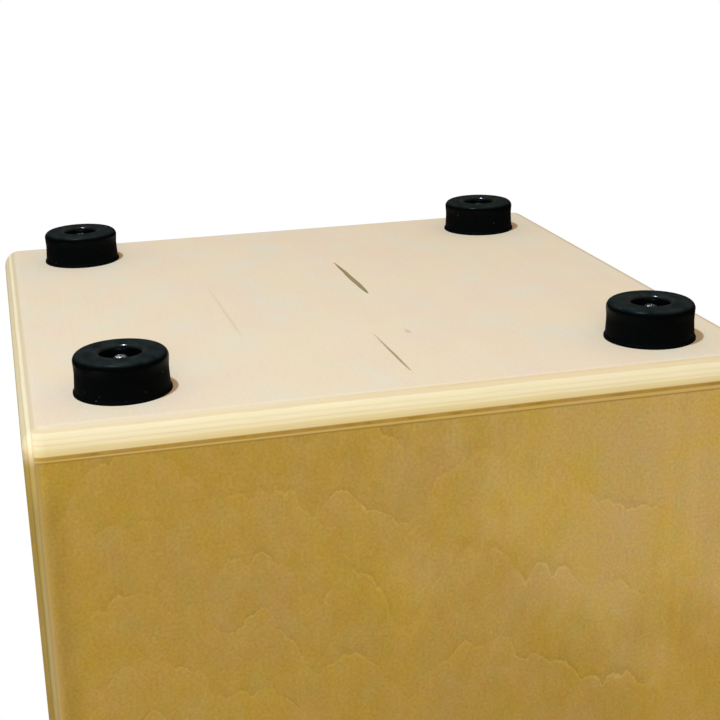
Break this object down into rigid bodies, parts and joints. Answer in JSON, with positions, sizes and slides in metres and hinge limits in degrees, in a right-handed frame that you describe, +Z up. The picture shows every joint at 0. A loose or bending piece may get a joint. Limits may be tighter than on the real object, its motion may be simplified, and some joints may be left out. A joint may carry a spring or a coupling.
{
  "type": "cajon",
  "caption": "Plywood box drum to sit on: thin screwed playing face, round sound hole in the back, snares inside and rubber feet.",
  "frame": {"origin": "on the ground under the middle of the box, at the underside of the rubber feet", "axes": "+Z up; the tapa, the playing face, looks towards -Y and the sound hole towards +Y; +X is to the right seen from the tapa's side"},
  "size_m": [0.3, 0.3, 0.48],
  "materials": {
    "birch_bottom": "raw sanded birch plywood, pale face veneer and nine plies in the rounded edge",
    "birch_seat": "sanded birch plywood, clear matt lacquer",
    "birch_side": "rotary-cut birch plywood, golden, clear matt lacquer",
    "birch_tapa": "thin rotary-cut birch plywood, clear satin lacquer",
    "birch_back": "thin three-ply birch, clear matt lacquer",
    "pine_batten": "planed softwood, unfinished",
    "foot_rubber": "moulded black rubber, satin",
    "zinc_steel": "bright zinc plate",
    "black_steel": "black oxide, satin",
    "snare_steel": "bare bright steel"
  },
  "bodies": {
    "root": {"bottom_panel": "birch_bottom", "seat_panel": "birch_seat", "left_side_panel": "birch_side", "right_side_panel": "birch_side", "tapa": "birch_tapa", "back_panel": "birch_back", "front_left_batten": "pine_batten", "front_right_batten": "pine_batten", "front_top_batten": "pine_batten", "front_bottom_batten": "pine_batten", "seat_left_block": "pine_batten", "seat_right_block": "pine_batten", "bottom_left_block": "pine_batten", "bottom_right_block": "pine_batten", "front_left_foot": "foot_rubber", "front_right_foot": "foot_rubber", "back_left_foot": "foot_rubber", "back_right_foot": "foot_rubber", "foot_screws": "zinc_steel", "foot_washers": "zinc_steel", "bar_screws": "zinc_steel", "snare_screws": "zinc_steel", "tapa_screws": "black_steel", "snare_bar": "pine_batten", "left_bar_cleat": "pine_batten", "right_bar_cleat": "pine_batten", "left_snare_plate": "snare_steel", "right_snare_plate": "snare_steel", "left_snare_wires": "snare_steel", "right_snare_wires": "snare_steel"}
  },
  "joints": []
}
